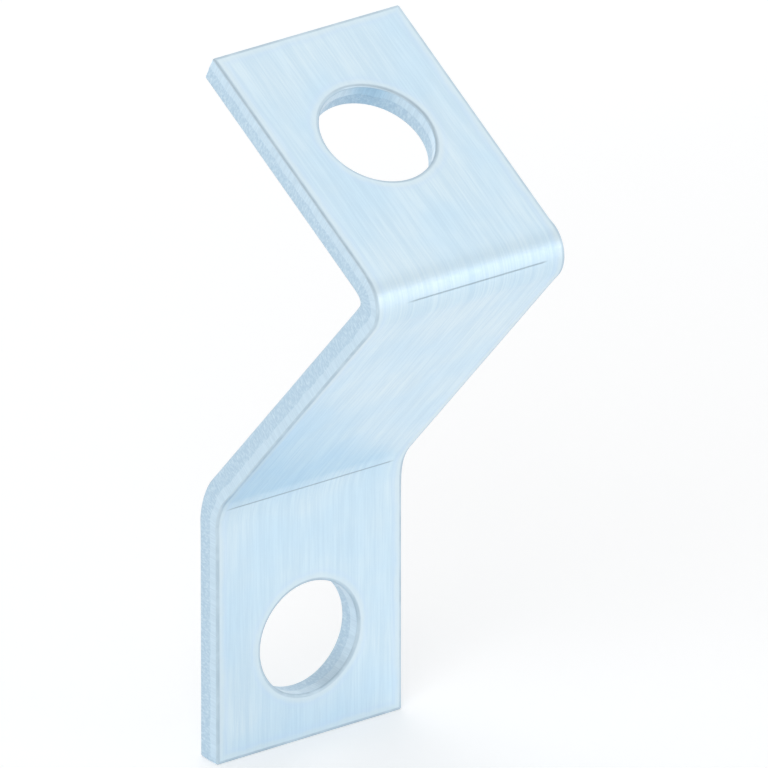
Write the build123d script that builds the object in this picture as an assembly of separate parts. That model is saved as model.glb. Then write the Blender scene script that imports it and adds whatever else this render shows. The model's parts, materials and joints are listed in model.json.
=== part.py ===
from build123d import *
import os

# DIN rail bracket: one strip of sheet steel, cut to length, punched with two round
# holes and bent twice. Millimetres and degrees.
# The short lower leg stands against the wall or mounting plate. The middle leg leans
# forward from it, and the rail leg folds back over it, so that a rail on its front
# face looks up at the person in front of the cabinet.
# X runs across the strip, +Z goes up the wall and the front faces -Y. The origin is
# the centre of the fixing hole on the back of the fixing leg, where it meets the wall.

# Strip
strip_width = 20.0
sheet_thickness = 2.5

# Legs, each measured along its front face to the theoretical corner, where that face
# would meet the next one if the bend between them had no radius
fixing_leg_length = 24.0
middle_leg_length = 37.5
rail_leg_length = 29.5

# Lean of the two upper legs away from the vertical
middle_leg_lean_forward = 42.0
rail_leg_lean_back = 60.0

# Inside radii of the bends. The lower bend is open and its inside is on the front.
# The upper bend is nearly sharp and its inside is on the back.
lower_bend_inside_radius = 5.0
upper_bend_inside_radius = 0.5

# Holes on the strip's centre line, each placed from the end of its leg
fixing_hole_diameter = 10.5
fixing_hole_from_end = 9.5
rail_hole_diameter = 10.5
rail_hole_from_end = 12.0

# Rounding of the sheared edges, which would otherwise cut a hand or a cable
edge_break = 0.2


def leg_direction(lean_back):
    """Unit vector up a leg in side view, where x is depth towards the wall and y is height."""
    return Vector(0, 1).rotate(Axis.Z, -lean_back)


# Side view of the front face, from the bottom up: its ends and theoretical corners
fixing_leg = leg_direction(0)
middle_leg = leg_direction(-middle_leg_lean_forward)
rail_leg = leg_direction(rail_leg_lean_back)
bottom_end = Vector(-sheet_thickness, -fixing_hole_from_end)
lower_corner = bottom_end + fixing_leg * fixing_leg_length
upper_corner = lower_corner + middle_leg * middle_leg_length
top_end = upper_corner + rail_leg * rail_leg_length


def bent_strip():
    """The strip with its two bends, of the same thickness all along."""
    with BuildPart() as strip:
        with BuildSketch(Plane.YZ):
            with BuildLine():
                # The front face is inside the lower bend and outside the upper one
                front_face = FilletPolyline(
                    bottom_end,
                    lower_corner,
                    upper_corner,
                    top_end,
                    radius=[lower_bend_inside_radius, upper_bend_inside_radius + sheet_thickness],
                )
                offset(front_face, amount=sheet_thickness, side=Side.RIGHT, mode=Mode.ADD)
            make_face()
        extrude(amount=strip_width / 2, both=True)
        fillet(strip.edges(), edge_break)
    return strip.part


def punched_hole(centre, leg, diameter):
    """A round hole square through one leg, from a point of its front face in side view."""
    side_view = Plane.YZ
    outwards = leg.rotate(Axis.Z, 90)
    punch = Plane(
        origin=side_view.from_local_coords(centre),
        x_dir=side_view.z_dir,
        z_dir=side_view.from_local_coords(outwards),
    )
    return extrude(punch * Circle(diameter / 2), amount=sheet_thickness, both=True)


def bracket():
    """The finished bracket: the bent strip with its fixing hole and its rail hole."""
    fixing_hole_centre = bottom_end + fixing_leg * fixing_hole_from_end
    rail_hole_centre = top_end - rail_leg * rail_hole_from_end
    return (
        bent_strip()
        - punched_hole(fixing_hole_centre, fixing_leg, fixing_hole_diameter)
        - punched_hole(rail_hole_centre, rail_leg, rail_hole_diameter)
    )


os.makedirs("parts", exist_ok=True)
export_step(bracket(), "parts/bracket.step")
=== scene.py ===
import json
import math

import bmesh
import bpy
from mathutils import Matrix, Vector, noise


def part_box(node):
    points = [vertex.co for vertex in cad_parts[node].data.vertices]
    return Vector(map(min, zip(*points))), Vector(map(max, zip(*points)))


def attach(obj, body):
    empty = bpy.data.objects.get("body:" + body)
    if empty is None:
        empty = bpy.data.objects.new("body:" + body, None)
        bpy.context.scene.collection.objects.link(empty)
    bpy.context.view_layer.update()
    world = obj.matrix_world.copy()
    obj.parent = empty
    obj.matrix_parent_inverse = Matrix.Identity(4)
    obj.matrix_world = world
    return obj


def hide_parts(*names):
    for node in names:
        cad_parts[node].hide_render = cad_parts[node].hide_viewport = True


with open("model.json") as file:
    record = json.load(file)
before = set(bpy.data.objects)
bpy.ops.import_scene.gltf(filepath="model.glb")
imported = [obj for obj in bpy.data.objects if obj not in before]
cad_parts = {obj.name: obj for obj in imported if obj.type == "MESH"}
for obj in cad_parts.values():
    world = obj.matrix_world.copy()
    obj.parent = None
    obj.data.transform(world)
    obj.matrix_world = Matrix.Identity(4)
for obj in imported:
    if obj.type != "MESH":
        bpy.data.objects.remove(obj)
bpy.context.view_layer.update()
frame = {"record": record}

mm = 0.001
mounts = {mount["name"]: mount for mount in frame["record"]["mounts"]}

# The strip in millimetres and degrees, as it is sheared, punched and bent.
# Its width, thickness, holes and the rail leg's slope come from the frame.
strip = {
    "fixingLeg": 24.0,         # front face, from the bottom end to the sharp corner
    "middleLeg": 37.5,         # front face, sharp corner to sharp corner
    "railLeg": 29.5,           # front face, from the sharp corner to the top end
    "leanForward": 42.0,       # middle leg, from the vertical
    "lowerInside": 5.0,        # inside radius, on the front
    "upperInside": 0.5,        # inside radius, on the back
    "railHoleFromEnd": 12.0,
}

# How the punch and shear leave a cut: drawn-in rim, burnished band, torn band, broken back edge
shear = {
    "outside": {"rim": 0.21, "draw": 0.15, "burnish": 0.95, "tearLean": 0.05, "backBreak": 0.14},
    "hole": {"rim": 0.32, "draw": 0.20, "burnish": 1.05, "tearLean": 0.07, "backBreak": 0.14},
    "waver": 0.12,             # how unevenly the burnished band ends, as a share of its depth
    "tearRough": 0.03,         # how unevenly the torn band falls back behind the burnished one
    "waverScale": 0.5,         # wavers in a millimetre along the cut
    "waverGain": 1.6,          # the noise seldom goes far from 0, so it is stretched
    "waverShift": 7.3,         # from one line of the cut to the next, so that they differ
    "holeSeed": 20.0,          # so that the holes differ too
    "rimSteps": 5, "tearSteps": 4, "backSteps": 3, "cornerSteps": 4,
}

# What the press does to the sheet at the bends
press = {
    "markDepth": 0.03,         # a line scribed on the front for each bend, above the bend's middle
    "lowerMark": {"above": 0.42, "from": -9.2, "to": 8.8, "halfWidth": 0.088},
    "upperMark": {"above": -0.26, "from": -6.7, "to": 8.1, "halfWidth": 0.042},
    "markFade": 0.6,           # both its ends run out over this length
    "edgeBulge": 0.24, "bulgeReach": 3.0,        # how much the squeeze moves the strip's edges
    "ease": 0.8,               # it comes and goes over twice this length
}

# Mesh fineness: numbers of steps, and lengths of step
fine = {
    "across": 36,              # columns, and rows beside each hole
    "flatStep": 0.6, "bendSteps": 40,
    "rimColumns": (0.14, 0.5, 1.0),     # extra ones beside the rim, this far in from it
    "rings": 13, "crowding": 0.05,      # round a hole, closer together at both ends
    # rows over a scribed line, in its half widths, and how far off the other rows stay
    "markRows": (-2.0, -1.4, -0.9, -0.45, 0.0, 0.45, 0.9, 1.4, 2.0), "markClear": 2.2,
    "joined": 0.0005,          # points closer than this become one
    "sliver": 0.0001,          # and thinner faces than this go
}

low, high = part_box("bracket")
halfWidth = (high.x - low.x) / 2 / mm
thickness = mounts["fixing_hole"]["dims"]["length_mm"]
halfThick = thickness / 2
holeRadius = {name: mounts[name]["dims"]["r_mm"] for name in ("fixing_hole", "rail_hole")}
railAxis = mounts["rail_hole"]["axis"]
leanBack = math.atan2(railAxis[2], -railAxis[1])
leanForward = math.radians(strip["leanForward"])


def bendPlan():
    # stretches of the strip's middle plane, from the bottom end up: (length, turn to the front)
    lowerTurn, upperTurn = leanForward, leanForward + leanBack
    lowerTangent = strip["lowerInside"] * math.tan(lowerTurn / 2)
    upperTangent = (strip["upperInside"] + thickness) * math.tan(upperTurn / 2)
    return [
        (strip["fixingLeg"] - lowerTangent, 0.0),
        ((strip["lowerInside"] + halfThick) * lowerTurn, lowerTurn),
        (strip["middleLeg"] - lowerTangent - upperTangent, 0.0),
        ((strip["upperInside"] + halfThick) * upperTurn, -upperTurn),
        (strip["railLeg"] - upperTangent, 0.0),
    ]


plan = bendPlan()
stripLength = sum(length for length, turn in plan)
starts = [sum(length for length, turn in plan[:i]) for i in range(len(plan))]
bends = [(starts[i], *plan[i]) for i in (1, 3)]
scribedLines = [
    # (middle along the blank, half width, left end, right end)
    (start + length / 2 + mark["above"], mark["halfWidth"], mark["from"], mark["to"])
    for (start, length, turn), mark in zip(bends, (press["lowerMark"], press["upperMark"]))
]
holes = [
    {"name": "fixing_hole", "along": -low.z / mm},
    {"name": "rail_hole", "along": stripLength - strip["railHoleFromEnd"]},
]
print(f"plan: blank {2 * halfWidth:.1f} x {stripLength:.1f} x {thickness:.1f} mm")


# On the flat blank, x or across is from the middle line, s or along from the bottom end, and out
# from the middle of the sheet towards the front, all in millimetres

def smoothStep(a, b, value):
    t = min(max((value - a) / (b - a), 0.0), 1.0)
    return t * t * (3 - 2 * t)


def onMiddlePlane(along):
    # depth, height and lean of the strip's middle plane, this far along from the bottom end
    depth, height, lean = -halfThick, low.z / mm, 0.0
    left = along
    for i, (length, turn) in enumerate(plan):
        step = left if i == len(plan) - 1 else min(left, length)
        if turn:
            radius = length / turn
            depth += radius * (math.cos(lean + turn * step / length) - math.cos(lean))
            height += radius * (math.sin(lean + turn * step / length) - math.sin(lean))
            lean += turn * step / length
        else:
            depth -= math.sin(lean) * step
            height += math.cos(lean) * step
        left -= step
    return depth, height, lean


def bendStrain(along):
    # 1 / radius of the middle plane, signed, eased at the ends of each bend
    ease = press["ease"]
    total = 0.0
    for start, length, turn in bends:
        begun = smoothStep(start - ease, start + ease, along)
        ended = smoothStep(start + length - ease, start + length + ease, along)
        total += begun * (1 - ended) * turn / length
    return total


def bent(across, along, out):
    # a point of the flat blank, put where the press leaves it, in metres
    depth, height, lean = onMiddlePlane(along)
    # the inside of a bend swells at the strip's edges and its outside draws in: the front is
    # inside the lower bend and outside the upper one
    squeeze = bendStrain(along) * out
    nearEdge = smoothStep(halfWidth - press["bulgeReach"], halfWidth, abs(across))
    across += math.copysign(press["edgeBulge"] * nearEdge * squeeze / (1 + abs(squeeze)), across)
    return Vector((across, depth - math.cos(lean) * out, height - math.sin(lean) * out)) * mm


def evenly(a, b, step):
    count = max(1, round((b - a) / step))
    return [a + (b - a) * i / count for i in range(count + 1)]


def columnsAcross():
    edge = halfWidth - shear["outside"]["rim"]
    near = [edge - d for d in fine["rimColumns"]]
    inner = evenly(-near[-1], near[-1], 2 * near[-1] / (fine["across"] - 2 * len(near)))
    return [-edge] + [-d for d in near[:-1]] + inner + near[-2::-1] + [edge]


def rowsAlong(a, b):
    # rows between the two hole patches: coarse on the flats, fine round the bends and their marks
    rows = [a]
    for i, (length, turn) in enumerate(plan):
        first, last = max(starts[i], a), min(starts[i] + length, b)
        if last <= first:
            continue
        step = length / fine["bendSteps"] if turn else fine["flatStep"]
        rows += evenly(first, last, step)[1:]
    for middle, halfLine, left, right in scribedLines:
        rows = [row for row in rows if abs(row - middle) > fine["markClear"] * halfLine]
        rows += [middle + halfLine * share for share in fine["markRows"]]
    return sorted(rows)


columns = columnsAcross()
outsideRim = shear["outside"]["rim"]
# a patch has its hole in the middle and reaches to its own end of the strip
patchEnds = [
    (outsideRim, 2 * holes[0]["along"] - outsideRim),
    (2 * holes[1]["along"] - stripLength + outsideRim, stripLength - outsideRim),
]
middleRows = rowsAlong(patchEnds[0][1], patchEnds[1][0])
patchRows = [evenly(a, b, (b - a) / fine["across"]) for a, b in patchEnds]


def scribedAt(across, along):
    # 0 beside a scribed line and 1 in its bottom
    depth = 0.0
    for middle, halfLine, left, right in scribedLines:
        distance = (along - middle) / halfLine
        reach = (right - left) / 2
        fade = 1 - smoothStep(reach - press["markFade"], reach, abs(across - (left + right) / 2))
        depth = max(depth, math.exp(-distance * distance) * fade)
    return depth


# The texture map that the export bakes through, which it knows by this name. The blank lies flat
# on it, in millimetres: the front, the back, the right wall, the left wall, and a last column
# with the walls of the two ends and the two holes.
texture = {"map": "OFBake", "gap": 0.6, "markZoom": 4.0}
gap = texture["gap"]


def rowOnMap(along):
    # a scribed line is finer than the baked pixels, so the rows over it are drawn out
    row = gap + along
    for middle, halfLine, left, right in scribedLines:
        reach = fine["markRows"][-1] * halfLine
        passed = min(max(along - middle + reach, 0.0), 2 * reach)
        row += (texture["markZoom"] - 1) * passed
    return row


frontMiddle, backMiddle = gap + halfWidth, 2 * gap + 3 * halfWidth
wallColumns = [3 * gap + 4 * halfWidth + i * (thickness + gap) for i in range(3)]
rightColumn, leftColumn, lastColumn = wallColumns
mapWidth = lastColumn + thickness + gap
mapHeight = rowOnMap(stripLength) + gap


def faceSpot(across, along, out):
    # where a point of the front or the back lies on the map, neither of them mirrored
    column = frontMiddle + across if out > 0 else backMiddle - across
    return column / mapWidth, rowOnMap(along) / mapHeight


def wallSpot(down, travelled, corner):
    # where a point of a wall lies on the map, this far down from the rim and round the cut
    column, row, share = corner
    return (column + down) / mapWidth, (row + share * travelled) / mapHeight


def shortWalls():
    # (column, row, share of its real length) for each wall of the last column, so that all fit
    ends = [2 * halfWidth, 2 * halfWidth]
    rounds = [2 * math.pi * holeRadius[hole["name"]] for hole in holes]
    walls = ends + rounds
    share = (mapHeight - gap * (len(walls) + 1)) / sum(walls)
    rows = [gap * (i + 1) + share * sum(walls[:i]) for i in range(len(walls))]
    endWalls = [(lastColumn, row, share) for row in rows[:2]]
    # a hole's wall is seen from inside the hole, so it runs down the map
    roundWalls = [(lastColumn, row + share * side, -share) for row, side in zip(rows[2:], rounds)]
    return endWalls, roundWalls


(bottomWall, topWall), holeWalls = shortWalls()
outsideWalls = [bottomWall, (rightColumn, gap, 1.0), topWall, (leftColumn, gap, 1.0)]


def addQuads(bm, rows, material):
    # each row holds (vertex, its spot on the map), and a ring ends with its first vertex again
    mapLayer = bm.loops.layers.uv.active
    for first, second in zip(rows, rows[1:]):
        for i in range(len(first) - 1):
            corners = (first[i], first[i + 1], second[i + 1], second[i])
            face = bm.faces.new([vert for vert, spot in corners])
            face.material_index = material
            for loop, (vert, spot) in zip(face.loops, corners):
                loop[mapLayer].uv = spot


def patchRing(a, b, rows):
    # the border of a patch, anticlockwise seen from the front
    edge = columns[-1]
    ring = [(x, a) for x in columns[:-1]] + [(edge, s) for s in rows[:-1]]
    return ring + [(x, b) for x in columns[:0:-1]] + [(-edge, s) for s in rows[:0:-1]]


def roundDirection(i, count):
    # from a hole's middle towards point i of the ring round it, which starts at the lower left
    turn = math.radians(-135 + 360 * i / count)
    return math.cos(turn), math.sin(turn)


def addPlate(bm, out):
    # the rolled face on one side of the sheet: a patch round each hole, and rows between them
    for hole, (a, b), rows in zip(holes, patchEnds, patchRows):
        ring = patchRing(a, b, rows)
        radius = holeRadius[hole["name"]] + shear["hole"]["rim"]
        layers = []
        for k in range(fine["rings"] + 1):
            t = k / fine["rings"]
            t -= math.sin(2 * math.pi * t) * fine["crowding"]
            layer = []
            for i, (x, s) in enumerate(ring):
                cosine, sine = roundDirection(i, len(ring))
                holeX, holeS = radius * cosine, hole["along"] + radius * sine
                flat = (holeX + (x - holeX) * t, holeS + (s - holeS) * t, out)
                layer.append((bm.verts.new(flat), faceSpot(*flat)))
            layers.append(layer + layer[:1])
        addQuads(bm, layers, 0)
    layers = []
    for s in middleRows:
        layer = []
        for x in columns:
            depth = press["markDepth"] * scribedAt(x, s) if out > 0 else 0.0
            layer.append((bm.verts.new((x, s, out - depth)), faceSpot(x, s, out)))
        layers.append(layer)
    addQuads(bm, layers, 0)


def cutProfile(cut, waver):
    # (distance in from the cut, height through the sheet, part of it), from front to back
    bandEnd = halfThick - cut["burnish"] * (1 + shear["waver"] * waver[0])
    backStart = -halfThick + cut["backBreak"]
    profile = []
    for k in range(shear["rimSteps"] + 1):
        turn = math.pi / 2 * k / shear["rimSteps"]
        inset = cut["rim"] * (1 - math.sin(turn))
        profile.append((inset, halfThick - cut["draw"] * (1 - math.cos(turn)), "rim"))
    profile.append((0.0, bandEnd, "wall"))
    for k in range(1, shear["tearSteps"] + 1):
        t = k / shear["tearSteps"]
        rough = shear["tearRough"] * waver[k] * math.sin(math.pi * t)
        inset = max(0.0, cut["tearLean"] * t + rough)
        profile.append((inset, bandEnd + (backStart - bandEnd) * t, "wall"))
    for k in range(1, shear["backSteps"] + 1):
        turn = math.pi / 2 * k / shear["backSteps"]
        inset = cut["tearLean"] + cut["backBreak"] * (1 - math.cos(turn))
        profile.append((inset, backStart - cut["backBreak"] * math.sin(turn), "rim"))
    profile.append((cut["rim"], -halfThick, "rim"))
    return profile, bandEnd


def waverAt(wall):
    # one value for the end of the burnished band, and one for each line of the torn band
    spot = wall * shear["waverScale"]
    shifts = [Vector((0, 0, shear["waverShift"] * k)) for k in range(shear["tearSteps"] + 1)]
    return [noise.noise(spot + shift) * shear["waverGain"] for shift in shifts]


def addCut(bm, loop, cut, seed, sides, sideWalls):
    # loop holds (across, along, outward across, outward along) of the rim's inner line, sides the
    # point of it where each side starts, and sideWalls where that side's wall lies on the map
    band = bm.verts.layers.float["band"]
    wall, grid = [], []
    for x, s, outX, outS in loop:
        wall.append(Vector((x + outX * cut["rim"], s + outS * cut["rim"], seed)))
        profile, bandEnd = cutProfile(cut, waverAt(wall[-1]))
        points = []
        for inset, out, part in profile:
            reach = cut["rim"] - inset
            vert = bm.verts.new((x + outX * reach, s + outS * reach, out))
            vert[band] = bandEnd
            # the rim lies flat beside its face
            unrolled = math.hypot(reach, halfThick - abs(out))
            points.append((vert, faceSpot(x + outX * unrolled, s + outS * unrolled, out)))
        grid.append(points)
    grid.append(grid[0])
    travelled = [0.0]
    for point, following in zip(wall, wall[1:] + wall[:1]):
        travelled.append(travelled[-1] + (following - point).length)

    rimBottom = halfThick - cut["draw"]
    parts = [part for inset, out, part in profile[1:]]
    for k, part in enumerate(parts):
        if part == "rim":
            addQuads(bm, [[points[line] for points in grid] for line in (k, k + 1)], 0)
            continue
        for first, last, corner in zip(sides, sides[1:] + [len(loop)], sideWalls):
            rows = []
            for line in (k, k + 1):
                row = []
                for i in range(first, last + 1):
                    vert = grid[i][line][0]
                    spot = wallSpot(rimBottom - vert.co.z, travelled[i] - travelled[first], corner)
                    row.append((vert, spot))
                rows.append(row)
            addQuads(bm, rows, 1)


def outsideLoop():
    # round the blank at the rim's inner line, with a fan of outward directions at each corner
    edge = columns[-1]
    bottom, top = outsideRim, stripLength - outsideRim
    sideRows = patchRows[0][:-1] + middleRows + patchRows[1][1:]
    lines = [
        ([(x, bottom) for x in columns], -90),
        ([(edge, s) for s in sideRows], 0),
        ([(x, top) for x in reversed(columns)], 90),
        ([(-edge, s) for s in reversed(sideRows)], 180),
    ]
    loop, sides = [], []
    for points, facing in lines:
        sides.append(len(loop))
        turn = math.radians(facing)
        loop += [(x, s, math.cos(turn), math.sin(turn)) for x, s in points]
        for k in range(1, shear["cornerSteps"]):
            turn = math.radians(facing + 90 * k / shear["cornerSteps"])
            loop.append((*points[-1], math.cos(turn), math.sin(turn)))
    return loop, sides


def holeLoop(hole):
    radius = holeRadius[hole["name"]] + shear["hole"]["rim"]
    count = len(patchRing(0, 1, patchRows[0]))
    loop = []
    for i in range(count):
        cosine, sine = roundDirection(i, count)
        loop.append((radius * cosine, hole["along"] + radius * sine, -cosine, -sine))
    return loop


def keepOnPoints(mesh, name, values, kind="FLOAT", field="value"):
    # values at the mesh's points, for the materials to read
    mesh.attributes.new(name, kind, "POINT").data.foreach_set(field, values)


def buildStrip():
    bm = bmesh.new()
    bm.verts.layers.float.new("band")
    bm.loops.layers.uv.new(texture["map"])
    addPlate(bm, halfThick)
    addPlate(bm, -halfThick)
    loop, sides = outsideLoop()
    addCut(bm, loop, shear["outside"], 0.0, sides, outsideWalls)
    for i, hole in enumerate(holes):
        seed = shear["holeSeed"] * (i + 1)
        addCut(bm, holeLoop(hole), shear["hole"], seed, [0], [holeWalls[i]])
    bmesh.ops.remove_doubles(bm, verts=bm.verts, dist=fine["joined"])
    bmesh.ops.dissolve_degenerate(bm, edges=bm.edges, dist=fine["sliver"])
    bmesh.ops.recalc_face_normals(bm, faces=bm.faces)
    mesh = bpy.data.meshes.new("bentStrip")
    bm.to_mesh(mesh)
    bm.free()

    flat = [vert.co.copy() for vert in mesh.vertices]
    onBlank = [part for point in flat for part in point]
    keepOnPoints(mesh, "blank", onBlank, "FLOAT_VECTOR", "vector")
    # more than 0 where a bend has stretched the metal, less where it has squeezed it
    keepOnPoints(mesh, "strain", [bendStrain(s) * -out for x, s, out in flat])
    keepOnPoints(mesh, "scribed", [scribedAt(x, s) if out > 0 else 0.0 for x, s, out in flat])
    for vert, (x, s, out) in zip(mesh.vertices, flat):
        vert.co = bent(x, s, out)
    mesh.shade_smooth()
    piece = bpy.data.objects.new("bent_strip", mesh)
    bpy.context.scene.collection.objects.link(piece)
    piece.modifiers.new("flat faces stay flat", "WEIGHTED_NORMAL")
    return piece


bentStrip = buildStrip()
print(f"strip: {len(bentStrip.data.polygons)} faces")


# Shader nodes

def addNode(tree, kind, **settings):
    node = tree.nodes.new(kind)
    for name, value in settings.items():
        setattr(node, name, value)
    return node


def plug(tree, socket, value):
    # a link where the value is another node's output, and otherwise the plain value
    if isinstance(value, bpy.types.NodeSocket):
        tree.links.new(value, socket)
    else:
        socket.default_value = value


def feed(tree, node, **values):
    # fill a node's inputs by name
    for name, value in values.items():
        plug(tree, node.inputs[name.replace("_", " ")], value)
    return node


def calc(tree, operation, *terms, kind="ShaderNodeMath", output="Value"):
    # terms are other nodes' outputs or plain numbers
    node = addNode(tree, kind, operation=operation)
    for socket, term in zip(node.inputs, terms):
        plug(tree, socket, term)
    return node.outputs[output]


def vectorCalc(tree, operation, *terms, output="Value"):
    return calc(tree, operation, *terms, kind="ShaderNodeVectorMath", output=output)


def stretched(tree, vector, factors):
    return vectorCalc(tree, "MULTIPLY", vector, factors, output="Vector")


def separate(tree, vector):
    return feed(tree, addNode(tree, "ShaderNodeSeparateXYZ"), Vector=vector).outputs


def ramp(tree, value, start, end, atStart=0.0, atEnd=1.0):
    # turns smoothly from atStart to atEnd
    node = addNode(tree, "ShaderNodeMapRange", interpolation_type="SMOOTHSTEP")
    feed(tree, node, Value=value, From_Min=start, From_Max=end, To_Min=atStart, To_Max=atEnd)
    return node.outputs["Result"]


def grainNoise(tree, vector, scale=1.0, detail=3.0, roughness=0.6):
    node = addNode(tree, "ShaderNodeTexNoise")
    feed(tree, node, Vector=vector, Scale=scale, Detail=detail, Roughness=roughness)
    return node.outputs["Fac"]


def mixValue(tree, factor, first, second):
    node = addNode(tree, "ShaderNodeMapRange")
    return feed(tree, node, Value=factor, To_Min=first, To_Max=second).outputs["Result"]


def mixTint(tree, factor, first, second):
    # a Mix node's colours are its inputs 6 and 7 and its output 2
    node = addNode(tree, "ShaderNodeMix", data_type="RGBA")
    feed(tree, node, Factor=factor)
    for socket, tint in zip(node.inputs[6:8], (first, second)):
        plug(tree, socket, tint if isinstance(tint, bpy.types.NodeSocket) else (*tint, 1.0))
    return node.outputs[2]


def bump(tree, height, distance, after=None):
    # distance is in metres, and after is the normal of the bump below
    node = addNode(tree, "ShaderNodeBump")
    feed(tree, node, Height=height, Strength=1.0, Distance=distance)
    if after is not None:
        feed(tree, node, Normal=after)
    return node.outputs["Normal"]


def startGroup(name, inputs, outputs):
    group = bpy.data.node_groups.new(name, "ShaderNodeTree")
    for label, kind in inputs:
        group.interface.new_socket(label, in_out="INPUT", socket_type=kind)
    for label in outputs:
        group.interface.new_socket(label, in_out="OUTPUT", socket_type="NodeSocketFloat")
    return group, addNode(group, "NodeGroupInput").outputs, addNode(group, "NodeGroupOutput")


# Fine parallel lines, left by the rolls along the faces and by the die through the cuts.
# A pair is the two values between which an effect comes or goes, here and in the finishes.
lineEffect = {"hairShare": 0.6, "streaks": (0.36, 0.64)}


def drawnLinesGroup():
    look = lineEffect
    group, given, end = startGroup(
        "drawn lines",
        [(label, "NodeSocketVector") for label in ("Blank", "Fine", "Broad")],
        ["Height", "Streaks"],
    )
    hair = grainNoise(group, stretched(group, given["Blank"], given["Fine"]))
    broad = grainNoise(group, stretched(group, given["Blank"], given["Broad"]))
    rest = calc(group, "MULTIPLY", broad, 1 - look["hairShare"])
    mixed = calc(group, "MULTIPLY_ADD", hair, look["hairShare"], rest)
    feed(group, end, Height=hair, Streaks=ramp(group, mixed, *look["streaks"]))
    return group


# Soft clouds of tint, fine crystals and shallow pits in the plating
platingEffect = {"cloud": (0.32, 0.68), "crystal": (0.25, 0.75), "swellScale": 0.3}


def zincPlatingGroup():
    look = platingEffect
    group, given, end = startGroup(
        "zinc plating",
        [("Blank", "NodeSocketVector"), ("Cloud Size", "NodeSocketFloat"),
         ("Crystal Size", "NodeSocketFloat")],
        ["Cloud", "Crystal", "Height"],
    )
    cloudScale = calc(group, "DIVIDE", 1.0, given["Cloud Size"])
    crystalScale = calc(group, "DIVIDE", 1.0, given["Crystal Size"])
    swellScale = calc(group, "MULTIPLY", crystalScale, look["swellScale"])
    cloud = grainNoise(group, given["Blank"], cloudScale, roughness=0.55)
    crystal = grainNoise(group, given["Blank"], crystalScale, detail=1.0, roughness=0.5)
    swell = grainNoise(group, given["Blank"], swellScale, detail=2.0, roughness=0.5)
    feed(group, end, Cloud=ramp(group, cloud, *look["cloud"]))
    feed(group, end, Crystal=ramp(group, crystal, *look["crystal"]), Height=swell)
    return group


drawnLines = drawnLinesGroup()
zincPlating = zincPlatingGroup()


def place(tree, group, **values):
    node = addNode(tree, "ShaderNodeGroup")
    node.node_tree = group
    return feed(tree, node, **values).outputs


def attribute(tree, name, output="Fac"):
    return addNode(tree, "ShaderNodeAttribute", attribute_name=name).outputs[output]


def emptyTree(owner):
    # of a material or the world
    owner.use_nodes = True
    owner.node_tree.nodes.clear()
    return owner.node_tree


def newFinish(name):
    material = bpy.data.materials.new(name)
    tree = emptyTree(material)
    shader = addNode(tree, "ShaderNodeBsdfPrincipled")
    feed(tree, addNode(tree, "ShaderNodeOutputMaterial"), Surface=shader.outputs["BSDF"])
    return material, tree, shader


def inFromCut(tree, blank):
    # millimetres in from the nearest cut, outside or hole, over the flat blank
    split = separate(tree, blank)
    nearest = calc(tree, "SUBTRACT", halfWidth, calc(tree, "ABSOLUTE", split["X"]))
    nearest = calc(tree, "MINIMUM", nearest, split["Y"])
    nearest = calc(tree, "MINIMUM", nearest, calc(tree, "SUBTRACT", stripLength, split["Y"]))
    flat = stretched(tree, blank, (1.0, 1.0, 0.0))
    for hole in holes:
        fromMiddle = vectorCalc(tree, "DISTANCE", flat, (0.0, hole["along"], 0.0))
        fromWall = calc(tree, "SUBTRACT", fromMiddle, holeRadius[hole["name"]])
        nearest = calc(tree, "MINIMUM", nearest, fromWall)
    return nearest


# The rolled faces and the rounded rims. Sizes are in millimetres, and scales are turns of the
# noise in a millimetre across, along and through the sheet.
zincFace = {
    # pale blue passivation, cooler and warmer in clouds
    "coolTint": (0.660, 0.850, 0.985), "warmTint": (0.745, 0.890, 0.975),
    "cloudSize": 9.0, "crystalSize": 0.16,
    # darker in the hollows of the rolled lines
    "lineTint": (0.570, 0.750, 0.890), "lineShare": 0.5,
    "lineScale": (5.0, 0.2, 5.0), "broadScale": (1.1, 0.05, 1.1),
    # a thicker film that lies unevenly beside a cut and fades out over this reach in from it
    "filmReach": (0.2, 1.6), "wanderScale": 0.45, "wander": 0.6,
    "violetTint": (0.650, 0.805, 0.965), "violetShare": 0.35, "violetFilm": (0.05, 0.5),
    "strawTint": (0.760, 0.880, 0.925), "strawShare": 0.6, "strawFilm": (0.45, 1.0),
    # the rounded rim itself, darkened by a painted dark reflection, by a share that wanders between
    # two values
    "rimShadeTint": (0.400, 0.530, 0.635), "rimShadeReach": (0.20, 0.38),
    "rimShadeWander": (0.35, 0.62), "rimShadeShare": (0.442, 0.68),
    # painted shade: the scribed groove is darkened in its colour
    "scribedShadeTint": (0.300, 0.400, 0.480), "scribedShadeShare": 0.85,
    "metallic": 0.88, "coat": 0.15, "coatRoughness": 0.3,
    "roughness": 0.29, "crystalRough": 0.10, "lineRough": 0.06, "bendRough": 0.14,
    # metal that a bend has stretched is rough like orange peel
    "peelScale": (2.0, 3.2, 2.0), "peelHeight": 0.018 * mm,
    "platingHeight": 0.009 * mm, "lineHeight": 0.008 * mm,
}


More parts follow.
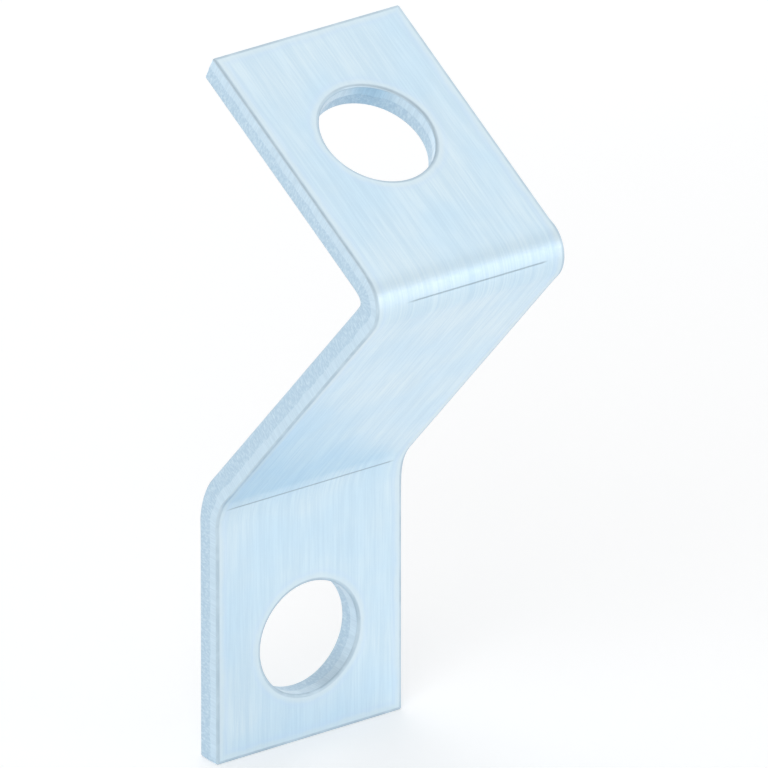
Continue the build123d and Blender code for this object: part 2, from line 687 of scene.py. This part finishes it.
def makeZincFace():
    material, tree, shader = newFinish("zincFace")
    look = zincFace
    blank = attribute(tree, "blank", "Vector")
    strain = calc(tree, "ABSOLUTE", attribute(tree, "strain"))
    lines = place(tree, drawnLines, Blank=blank, Fine=look["lineScale"], Broad=look["broadScale"])
    plating = place(
        tree, zincPlating,
        Blank=blank, Cloud_Size=look["cloudSize"], Crystal_Size=look["crystalSize"],
    )

    tint = mixTint(tree, plating["Cloud"], look["coolTint"], look["warmTint"])
    hollow = calc(tree, "MULTIPLY", lines["Streaks"], look["lineShare"])
    tint = mixTint(tree, hollow, tint, look["lineTint"])

    inwards = inFromCut(tree, blank)
    wander = grainNoise(tree, blank, look["wanderScale"])
    film = ramp(tree, inwards, *look["filmReach"], 1.0, 0.0)
    film = calc(tree, "SUBTRACT", film, look["wander"] / 2)
    film = calc(tree, "MULTIPLY_ADD", wander, look["wander"], film)
    violet = ramp(tree, film, *look["violetFilm"], 0.0, look["violetShare"])
    tint = mixTint(tree, violet, tint, look["violetTint"])
    straw = ramp(tree, film, *look["strawFilm"], 0.0, look["strawShare"])
    tint = mixTint(tree, straw, tint, look["strawTint"])
    # painted shade: the rim's colour is darkened to stand in for the dark reflection a rounded edge
    # catches
    rimShadeShare = ramp(tree, wander, *look["rimShadeWander"], *look["rimShadeShare"])
    rim = ramp(tree, inwards, *look["rimShadeReach"], rimShadeShare, 0.0)
    tint = mixTint(tree, rim, tint, look["rimShadeTint"])
    # painted shade in the scribed groove
    scribed = calc(tree, "MULTIPLY", attribute(tree, "scribed"), look["scribedShadeShare"])
    tint = mixTint(tree, scribed, tint, look["scribedShadeTint"])
    feed(tree, shader, Base_Color=tint)

    rough = calc(tree, "MULTIPLY_ADD", plating["Crystal"], look["crystalRough"], look["roughness"])
    rough = calc(tree, "MULTIPLY_ADD", lines["Streaks"], look["lineRough"], rough)
    rough = calc(tree, "MULTIPLY_ADD", strain, look["bendRough"], rough)
    feed(tree, shader, Roughness=rough, Metallic=look["metallic"])
    feed(tree, shader, Coat_Weight=look["coat"], Coat_Roughness=look["coatRoughness"])

    peel = grainNoise(tree, stretched(tree, blank, look["peelScale"]))
    normal = bump(tree, calc(tree, "MULTIPLY", peel, strain), look["peelHeight"])
    normal = bump(tree, plating["Height"], look["platingHeight"], normal)
    feed(tree, shader, Normal=bump(tree, lines["Height"], look["lineHeight"], normal))
    return material


# The sheared walls, in the same units: burnished next to the front, torn towards the back
zincCut = {
    # the burnished band, scored through by the die
    "burnishTint": (0.640, 0.800, 0.915), "burnishRoughness": 0.30,
    "dragTint": (0.470, 0.620, 0.740), "dragShare": 0.45,
    "dragScale": (7.0, 7.0, 0.35), "broadScale": (1.6, 1.6, 0.1), "dragHeight": 0.008 * mm,
    # the border between the bands, and how far it wavers
    "border": (-0.09, 0.03), "ragged": 0.28, "raggedScale": (3.0, 3.0, 0.6),
    # the torn band, gritty, with a painted glint: a lighter colour on its grains
    "tearTint": (0.515, 0.680, 0.810), "tearRoughness": 0.5, "tearHeight": 0.05 * mm,
    "gritScale": (4.5, 4.5, 2.2), "gritDetail": 4.0, "gritRoughness": 0.65,
    "glintTint": (0.700, 0.840, 0.935), "glint": (0.38, 0.72), "glintShare": 0.8,
    "crystalSize": 0.14, "crystalRough": 0.1,
    "metallic": 0.88, "coat": 0.1, "coatRoughness": 0.3,
}


def makeZincCut():
    material, tree, shader = newFinish("zincCut")
    look = zincCut
    blank = attribute(tree, "blank", "Vector")
    lines = place(tree, drawnLines, Blank=blank, Fine=look["dragScale"], Broad=look["broadScale"])
    # no clouds on the cuts, so they need no size
    plating = place(tree, zincPlating, Blank=blank, Crystal_Size=look["crystalSize"])
    above = calc(tree, "SUBTRACT", separate(tree, blank)["Z"], attribute(tree, "band"))
    ragged = grainNoise(tree, stretched(tree, blank, look["raggedScale"]))
    ragged = calc(tree, "SUBTRACT", ragged, 0.5)
    above = calc(tree, "MULTIPLY_ADD", ragged, look["ragged"], above)
    torn = ramp(tree, above, *look["border"], 1.0, 0.0)

    scored = calc(tree, "MULTIPLY", lines["Streaks"], look["dragShare"])
    tint = mixTint(tree, scored, look["burnishTint"], look["dragTint"])
    tint = mixTint(tree, torn, tint, look["tearTint"])
    gritPlace = stretched(tree, blank, look["gritScale"])
    grit = grainNoise(tree, gritPlace, detail=look["gritDetail"], roughness=look["gritRoughness"])
    # painted glint: the grains are made lighter in the colour, not lit by a lamp
    glint = calc(tree, "MULTIPLY", ramp(tree, grit, *look["glint"]), torn)
    tint = mixTint(tree, calc(tree, "MULTIPLY", glint, look["glintShare"]), tint, look["glintTint"])
    feed(tree, shader, Base_Color=tint, Metallic=look["metallic"])
    feed(tree, shader, Coat_Weight=look["coat"], Coat_Roughness=look["coatRoughness"])

    rough = ramp(tree, torn, 0.0, 1.0, look["burnishRoughness"], look["tearRoughness"])
    rough = calc(tree, "MULTIPLY_ADD", plating["Crystal"], look["crystalRough"], rough)
    feed(tree, shader, Roughness=rough)

    normal = bump(tree, calc(tree, "MULTIPLY", grit, torn), look["tearHeight"])
    feed(tree, shader, Normal=bump(tree, lines["Height"], look["dragHeight"], normal))
    return material


bentStrip.data.materials.append(makeZincFace())
bentStrip.data.materials.append(makeZincCut())
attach(bentStrip, "root")
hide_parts("bracket")
print("finish: zinc plating on the faces and the cuts")


# Floor, sky, lamps and camera, laid out in millimetres

def seenByEye(tree):
    # 1 for what the camera sees, directly or in a shiny surface
    seen = addNode(tree, "ShaderNodeLightPath").outputs
    either = calc(tree, "MAXIMUM", seen["Is Camera Ray"], seen["Is Glossy Ray"])
    return calc(tree, "MAXIMUM", either, seen["Is Transmission Ray"])


floor = {
    "half": 3000.0, "tint": (0.80, 0.805, 0.81),
    "whiteNear": 0.29, "whiteFar": 0.80,         # added white, round the bracket and far from it
    "nearReach": 100.0, "farReach": 600.0,
}


def makeFloor():
    half = floor["half"] * mm
    sides = [(-1, -1), (1, -1), (1, 1), (-1, 1)]
    corners = [(x * half, y * half, low.z) for x, y in sides]
    mesh = bpy.data.meshes.new("floor")
    mesh.from_pydata(corners, [], [(0, 1, 2, 3)])
    piece = bpy.data.objects.new("floor", mesh)
    bpy.context.scene.collection.objects.link(piece)
    material = bpy.data.materials.new("paleFloor")
    tree = emptyTree(material)
    matte = feed(tree, addNode(tree, "ShaderNodeBsdfDiffuse"), Color=(*floor["tint"], 1.0))
    away = vectorCalc(tree, "LENGTH", addNode(tree, "ShaderNodeNewGeometry").outputs["Position"])
    near, far = floor["nearReach"] * mm, floor["farReach"] * mm
    white = ramp(tree, away, near, far, floor["whiteNear"], floor["whiteFar"])
    strength = calc(tree, "MULTIPLY", seenByEye(tree), white)
    glow = feed(tree, addNode(tree, "ShaderNodeEmission"), Strength=strength)
    both = addNode(tree, "ShaderNodeAddShader")
    plug(tree, both.inputs[0], matte.outputs["BSDF"])
    plug(tree, both.inputs[1], glow.outputs["Emission"])
    feed(tree, addNode(tree, "ShaderNodeOutputMaterial"), Surface=both.outputs["Shader"])
    mesh.materials.append(material)


sky = {
    "white": 1.0, "fill": 0.56,                  # as the camera sees it, and as it lights the metal
    "horizon": 0.95, "overhead": 0.66,           # as the metal mirrors it, dimmer overhead
    "dimming": (0.15, 0.8),                      # between these heights, where 1 is straight up
    "boxes": [                                   # soft boxes only the metal mirrors, in degrees
        {"towards": (0.60, 0.08, 0.80), "glow": 0.33, "edge": 20.0, "fade": 46.0},
        {"towards": (-0.82, 0.10, 0.58), "glow": 0.34, "edge": 10.0, "fade": 34.0},
    ],
}


def makeSky():
    world = bpy.data.worlds.new("studio")
    bpy.context.scene.world = world
    tree = emptyTree(world)
    direction = addNode(tree, "ShaderNodeTexCoord").outputs["Generated"]
    height = separate(tree, direction)["Z"]
    mirrored = ramp(tree, height, *sky["dimming"], sky["horizon"], sky["overhead"])
    for box in sky["boxes"]:
        near = vectorCalc(tree, "DOT_PRODUCT", direction, Vector(box["towards"]).normalized())
        fade, edge = (math.cos(math.radians(box[angle])) for angle in ("fade", "edge"))
        mirrored = calc(tree, "ADD", mirrored, ramp(tree, near, fade, edge, 0.0, box["glow"]))
    seen = addNode(tree, "ShaderNodeLightPath").outputs
    bySurface = calc(tree, "MAXIMUM", seen["Is Glossy Ray"], seen["Is Transmission Ray"])
    strength = mixValue(tree, bySurface, sky["fill"], mirrored)
    strength = mixValue(tree, seen["Is Camera Ray"], strength, sky["white"])
    background = addNode(tree, "ShaderNodeBackground")
    feed(tree, background, Color=(1.0, 1.0, 1.0, 1.0), Strength=strength)
    feed(tree, addNode(tree, "ShaderNodeOutputWorld"), Surface=background.outputs["Background"])


# Soft boxes. Their glow is how bright they are, where 1 is white.
lamps = {
    "key": {"from": (-400, -320, 420), "size": (380, 380), "glow": 2.6, "mirrored": False},
    "top": {"from": (60, 230, 500), "size": (420, 420), "glow": 0.8, "mirrored": False},
    "back": {"from": (180, 450, 290), "size": (380, 380), "glow": 0.8, "mirrored": False},
    "front": {"from": (250, -410, 140), "size": (330, 75), "glow": 1.4, "mirrored": True},
}


def makeLamps():
    middle = (low + high) / 2
    for name, lamp in lamps.items():
        data = bpy.data.lights.new(name + "Lamp", "AREA")
        data.shape = "RECTANGLE"
        data.size, data.size_y = (side * mm for side in lamp["size"])
        data.energy = lamp["glow"] * math.pi * data.size * data.size_y
        piece = bpy.data.objects.new(name + "Lamp", data)
        piece.location = Vector(lamp["from"]) * mm
        piece.rotation_euler = (middle - piece.location).to_track_quat("-Z", "Y").to_euler()
        piece.visible_glossy = lamp["mirrored"]
        bpy.context.scene.collection.objects.link(piece)


# The picture is a parallel projection, so the camera stands far off with a long lens
view = {
    "azimuth": -36.65, "elevation": 23.64,       # degrees
    "aim": (1.04, -11.94, 27.11),                # in the middle of the picture
    "distance": 2768.0,
    "lens": 1502.3,
    "nearest": 500.0, "farthest": 20000.0,       # the camera sees only what lies between
}


def makeCamera():
    data = bpy.data.cameras.new("camera")
    data.lens = view["lens"]
    data.clip_start, data.clip_end = view["nearest"] * mm, view["farthest"] * mm
    camera = bpy.data.objects.new("camera", data)
    turn, rise = math.radians(view["azimuth"]), math.radians(view["elevation"])
    level = math.cos(rise)
    back = Vector((math.sin(turn) * level, -math.cos(turn) * level, math.sin(rise)))
    camera.location = (Vector(view["aim"]) + back * view["distance"]) * mm
    camera.rotation_euler = (-back).to_track_quat("-Z", "Y").to_euler()
    bpy.context.scene.collection.objects.link(camera)
    bpy.context.scene.camera = camera


makeFloor()
makeSky()
makeLamps()
makeCamera()
bpy.context.scene.view_settings.view_transform = "Standard"
print("stage: floor, sky, lamps and camera")
